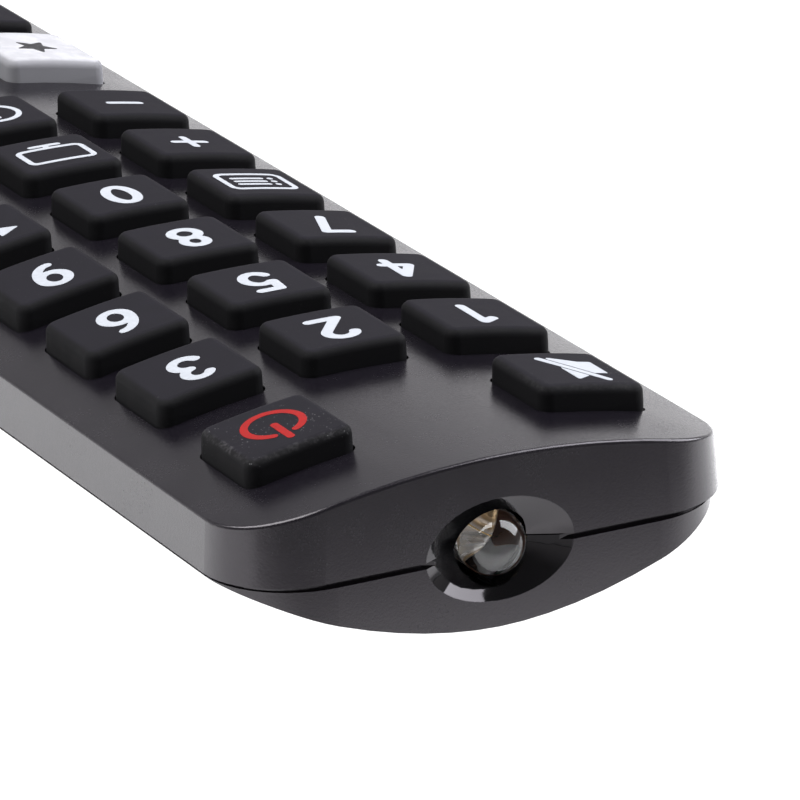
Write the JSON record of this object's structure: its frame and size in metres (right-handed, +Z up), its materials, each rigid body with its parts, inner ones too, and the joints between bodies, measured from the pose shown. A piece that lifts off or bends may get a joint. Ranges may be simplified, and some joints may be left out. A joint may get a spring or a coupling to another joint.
{
  "type": "tv remote control",
  "caption": "Slim dark infrared remote control with square rubber keys on a crowned deck, clear LED in an oval recess and a slide-off battery cover.",
  "frame": {"origin": "middle of the footprint on the flat base of the belly", "axes": "+Z up through the keys, +Y along the length towards the infrared LED, +X to the right when the digits read upright"},
  "size_m": [0.0412, 0.1753, 0.022],
  "materials": {
    "housing_plastic": "fine spark-eroded grain, dark charcoal",
    "cover_plastic": "fine spark-eroded grain, dark charcoal",
    "key_rubber": "matt silicone, charcoal, a little dust",
    "light_key_rubber": "matt silicone, pale grey",
    "mat_rubber": "matt silicone sheet",
    "board": "green solder mask",
    "component_black": "moulded epoxy",
    "component_amber": "dipped resin",
    "component_sleeve": "shrink sleeve",
    "clear_lens": "clear moulded epoxy, polished",
    "tinned_metal": "tinned lead frame",
    "cell_sleeve": "plain printed sleeve over a steel can",
    "spring_metal": "nickel-plated spring wire",
    "contact_metal": "nickel-plated spring strip",
    "screw_metal": "zinc-plated steel"
  },
  "bodies": {
    "root": {"battery_1": "cell_sleeve", "battery_2": "cell_sleeve", "battery_springs": "spring_metal", "capacitor": "component_sleeve", "case_screw": "screw_metal", "circuit_board": "board", "contact_bridge": "contact_metal", "contact_negative": "contact_metal", "contact_positive": "contact_metal", "controller_chip": "component_black", "ir_led": "clear_lens", "keypad_mat": "mat_rubber", "led_leads": "tinned_metal", "lower_housing": "housing_plastic", "resistors": "component_black", "resonator": "component_amber", "transistor": "component_black", "upper_housing": "housing_plastic"},
    "battery_cover": {"battery_cover": "cover_plastic"},
    "key_0": {"key_0": "key_rubber"},
    "key_1": {"key_1": "key_rubber"},
    "key_2": {"key_2": "key_rubber"},
    "key_3": {"key_3": "key_rubber"},
    "key_4": {"key_4": "key_rubber"},
    "key_5": {"key_5": "key_rubber"},
    "key_6": {"key_6": "key_rubber"},
    "key_7": {"key_7": "key_rubber"},
    "key_8": {"key_8": "key_rubber"},
    "key_9": {"key_9": "key_rubber"},
    "key_back": {"key_back": "key_rubber"},
    "key_channel_down": {"key_channel_down": "key_rubber"},
    "key_channel_up": {"key_channel_up": "key_rubber"},
    "key_down": {"key_down": "key_rubber"},
    "key_exit": {"key_exit": "key_rubber"},
    "key_forward": {"key_forward": "key_rubber"},
    "key_guide": {"key_guide": "key_rubber"},
    "key_home": {"key_home": "key_rubber"},
    "key_info": {"key_info": "key_rubber"},
    "key_left": {"key_left": "key_rubber"},
    "key_list": {"key_list": "key_rubber"},
    "key_menu": {"key_menu": "key_rubber"},
    "key_mute": {"key_mute": "key_rubber"},
    "key_ok": {"key_ok": "key_rubber"},
    "key_picture": {"key_picture": "key_rubber"},
    "key_play": {"key_play": "key_rubber"},
    "key_power": {"key_power": "key_rubber"},
    "key_recall": {"key_recall": "key_rubber"},
    "key_rewind": {"key_rewind": "key_rubber"},
    "key_right": {"key_right": "key_rubber"},
    "key_shortcut_left": {"key_shortcut_left": "light_key_rubber"},
    "key_shortcut_right": {"key_shortcut_right": "light_key_rubber"},
    "key_up": {"key_up": "key_rubber"},
    "key_volume_down": {"key_volume_down": "key_rubber"},
    "key_volume_up": {"key_volume_up": "key_rubber"}
  },
  "joints": [
    {"name": "key_0_press", "type": "slide", "parent": "root", "child": "key_0", "axis": [0, 0, -1], "range_m": [0, 0.0008], "stiffness_N_per_m": 1500},
    {"name": "key_1_press", "type": "slide", "parent": "root", "child": "key_1", "axis": [0, 0, -1], "range_m": [0, 0.0008], "stiffness_N_per_m": 1500},
    {"name": "key_2_press", "type": "slide", "parent": "root", "child": "key_2", "axis": [0, 0, -1], "range_m": [0, 0.0008], "stiffness_N_per_m": 1500},
    {"name": "key_3_press", "type": "slide", "parent": "root", "child": "key_3", "axis": [0, 0, -1], "range_m": [0, 0.0008], "stiffness_N_per_m": 1500},
    {"name": "key_4_press", "type": "slide", "parent": "root", "child": "key_4", "axis": [0, 0, -1], "range_m": [0, 0.0008], "stiffness_N_per_m": 1500},
    {"name": "key_5_press", "type": "slide", "parent": "root", "child": "key_5", "axis": [0, 0, -1], "range_m": [0, 0.0008], "stiffness_N_per_m": 1500},
    {"name": "key_6_press", "type": "slide", "parent": "root", "child": "key_6", "axis": [0, 0, -1], "range_m": [0, 0.0008], "stiffness_N_per_m": 1500},
    {"name": "key_7_press", "type": "slide", "parent": "root", "child": "key_7", "axis": [0, 0, -1], "range_m": [0, 0.0008], "stiffness_N_per_m": 1500},
    {"name": "key_8_press", "type": "slide", "parent": "root", "child": "key_8", "axis": [0, 0, -1], "range_m": [0, 0.0008], "stiffness_N_per_m": 1500},
    {"name": "key_9_press", "type": "slide", "parent": "root", "child": "key_9", "axis": [0, 0, -1], "range_m": [0, 0.0008], "stiffness_N_per_m": 1500},
    {"name": "key_back_press", "type": "slide", "parent": "root", "child": "key_back", "axis": [0, 0, -1], "range_m": [0, 0.0008], "stiffness_N_per_m": 1500},
    {"name": "key_channel_down_press", "type": "slide", "parent": "root", "child": "key_channel_down", "axis": [0, 0, -1], "range_m": [0, 0.0008], "stiffness_N_per_m": 1500},
    {"name": "key_channel_up_press", "type": "slide", "parent": "root", "child": "key_channel_up", "axis": [0, 0, -1], "range_m": [0, 0.0008], "stiffness_N_per_m": 1500},
    {"name": "key_down_press", "type": "slide", "parent": "root", "child": "key_down", "axis": [0, 0, -1], "range_m": [0, 0.0008], "stiffness_N_per_m": 1500},
    {"name": "key_exit_press", "type": "slide", "parent": "root", "child": "key_exit", "axis": [0, 0, -1], "range_m": [0, 0.0008], "stiffness_N_per_m": 1500},
    {"name": "key_forward_press", "type": "slide", "parent": "root", "child": "key_forward", "axis": [0, 0, -1], "range_m": [0, 0.0008], "stiffness_N_per_m": 1500},
    {"name": "key_guide_press", "type": "slide", "parent": "root", "child": "key_guide", "axis": [0, 0, -1], "range_m": [0, 0.0008], "stiffness_N_per_m": 1500},
    {"name": "key_home_press", "type": "slide", "parent": "root", "child": "key_home", "axis": [0, 0, -1], "range_m": [0, 0.0008], "stiffness_N_per_m": 1500},
    {"name": "key_info_press", "type": "slide", "parent": "root", "child": "key_info", "axis": [0, 0, -1], "range_m": [0, 0.0008], "stiffness_N_per_m": 1500},
    {"name": "key_left_press", "type": "slide", "parent": "root", "child": "key_left", "axis": [0, 0, -1], "range_m": [0, 0.0008], "stiffness_N_per_m": 1500},
    {"name": "key_list_press", "type": "slide", "parent": "root", "child": "key_list", "axis": [0, 0, -1], "range_m": [0, 0.0008], "stiffness_N_per_m": 1500},
    {"name": "key_menu_press", "type": "slide", "parent": "root", "child": "key_menu", "axis": [0, 0, -1], "range_m": [0, 0.0008], "stiffness_N_per_m": 1500},
    {"name": "key_mute_press", "type": "slide", "parent": "root", "child": "key_mute", "axis": [0, 0, -1], "range_m": [0, 0.0008], "stiffness_N_per_m": 1500},
    {"name": "key_ok_press", "type": "slide", "parent": "root", "child": "key_ok", "axis": [0, 0, -1], "range_m": [0, 0.0008], "stiffness_N_per_m": 1500},
    {"name": "key_picture_press", "type": "slide", "parent": "root", "child": "key_picture", "axis": [0, 0, -1], "range_m": [0, 0.0008], "stiffness_N_per_m": 1500},
    {"name": "key_play_press", "type": "slide", "parent": "root", "child": "key_play", "axis": [0, 0, -1], "range_m": [0, 0.0008], "stiffness_N_per_m": 1500},
    {"name": "key_power_press", "type": "slide", "parent": "root", "child": "key_power", "axis": [0, 0, -1], "range_m": [0, 0.0008], "stiffness_N_per_m": 1500},
    {"name": "key_recall_press", "type": "slide", "parent": "root", "child": "key_recall", "axis": [0, 0, -1], "range_m": [0, 0.0008], "stiffness_N_per_m": 1500},
    {"name": "key_rewind_press", "type": "slide", "parent": "root", "child": "key_rewind", "axis": [0, 0, -1], "range_m": [0, 0.0008], "stiffness_N_per_m": 1500},
    {"name": "key_right_press", "type": "slide", "parent": "root", "child": "key_right", "axis": [0, 0, -1], "range_m": [0, 0.0008], "stiffness_N_per_m": 1500},
    {"name": "key_shortcut_left_press", "type": "slide", "parent": "root", "child": "key_shortcut_left", "axis": [0, 0, -1], "range_m": [0, 0.0008], "stiffness_N_per_m": 1500},
    {"name": "key_shortcut_right_press", "type": "slide", "parent": "root", "child": "key_shortcut_right", "axis": [0, 0, -1], "range_m": [0, 0.0008], "stiffness_N_per_m": 1500},
    {"name": "key_up_press", "type": "slide", "parent": "root", "child": "key_up", "axis": [0, 0, -1], "range_m": [0, 0.0008], "stiffness_N_per_m": 1500},
    {"name": "key_volume_down_press", "type": "slide", "parent": "root", "child": "key_volume_down", "axis": [0, 0, -1], "range_m": [0, 0.0008], "stiffness_N_per_m": 1500},
    {"name": "key_volume_up_press", "type": "slide", "parent": "root", "child": "key_volume_up", "axis": [0, 0, -1], "range_m": [0, 0.0008], "stiffness_N_per_m": 1500},
    {"name": "battery_cover_slide", "type": "slide", "parent": "root", "child": "battery_cover", "axis": [0, -1, 0], "range_m": [0, 0.074]}
  ]
}
